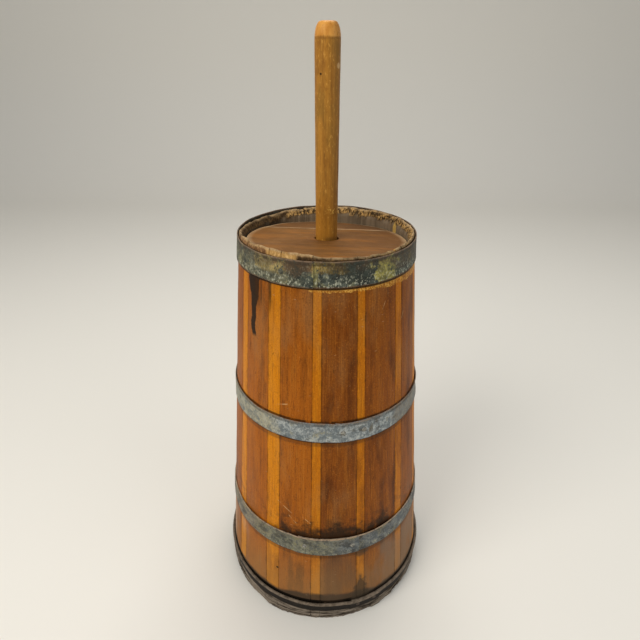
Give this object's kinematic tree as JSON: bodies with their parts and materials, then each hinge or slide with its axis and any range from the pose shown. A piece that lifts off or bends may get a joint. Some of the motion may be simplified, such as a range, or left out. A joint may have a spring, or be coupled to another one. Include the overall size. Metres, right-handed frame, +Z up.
{
  "type": "butter churn",
  "caption": "Tapering wooden stave tub with metal hoops, a lid inside the rim and a cross dasher on a long round shaft, worked up and down to churn butter.",
  "frame": {"origin": "centre of the tub's foot, on the surface it stands on", "axes": "+Z up along the shaft, -Y towards the front, +X to the right as seen from the front"},
  "size_m": [0.3066, 0.3066, 0.74],
  "materials": {
    "cedar": "old oiled wood, reddish brown, worn",
    "pine": "old oiled wood, golden, worn",
    "head_wood": "bare scrubbed wood",
    "dowel_wood": "bare hardwood",
    "patinated_band": "old zinc-coated sheet with a green and yellow patina",
    "galvanised_band": "dull galvanised sheet",
    "rusty_band": "rusty steel",
    "rivet_steel": "rusty steel",
    "lid_wood": "old wood, worn",
    "shaft_wood": "smooth from handling",
    "dasher_wood": "bare scrubbed wood"
  },
  "bodies": {
    "tub": {"cedar_stave_01": "cedar", "cedar_stave_02": "cedar", "cedar_stave_03": "cedar", "cedar_stave_04": "cedar", "cedar_stave_05": "cedar", "cedar_stave_06": "cedar", "cedar_stave_07": "cedar", "cedar_stave_08": "cedar", "cedar_stave_09": "cedar", "cedar_stave_10": "cedar", "cedar_stave_11": "cedar", "cedar_stave_12": "cedar", "cedar_stave_13": "cedar", "cedar_stave_14": "cedar", "pine_stave_01": "pine", "pine_stave_02": "pine", "pine_stave_03": "pine", "pine_stave_04": "pine", "pine_stave_05": "pine", "pine_stave_06": "pine", "pine_stave_07": "pine", "pine_stave_08": "pine", "pine_stave_09": "pine", "pine_stave_10": "pine", "pine_stave_11": "pine", "pine_stave_12": "pine", "pine_stave_13": "pine", "pine_stave_14": "pine", "head_board_left": "head_wood", "head_board_middle": "head_wood", "head_board_right": "head_wood", "head_dowels": "dowel_wood", "top_hoop": "patinated_band", "top_hoop_rivets": "rivet_steel", "middle_hoop": "galvanised_band", "middle_hoop_rivets": "rivet_steel", "lower_hoop": "galvanised_band", "lower_hoop_rivets": "rivet_steel", "foot_hoop": "rusty_band", "foot_hoop_rivets": "rivet_steel"},
    "lid": {"lid_front_board": "lid_wood", "lid_back_board": "lid_wood", "lid_batten_left": "lid_wood", "lid_batten_right": "lid_wood", "batten_screws": "rivet_steel"},
    "dasher": {"dasher_shaft": "shaft_wood", "dasher_arm_lower": "dasher_wood", "dasher_arm_upper": "dasher_wood", "dasher_wedge": "dowel_wood"}
  },
  "joints": [
    {"name": "lid_lift", "type": "slide", "parent": "tub", "child": "lid", "axis": [0, 0, 1], "range_m": [0, 0.27]},
    {"name": "dasher_slide", "type": "slide", "parent": "tub", "child": "dasher", "axis": [0, 0, 1], "range_m": [0, 0.42]}
  ]
}
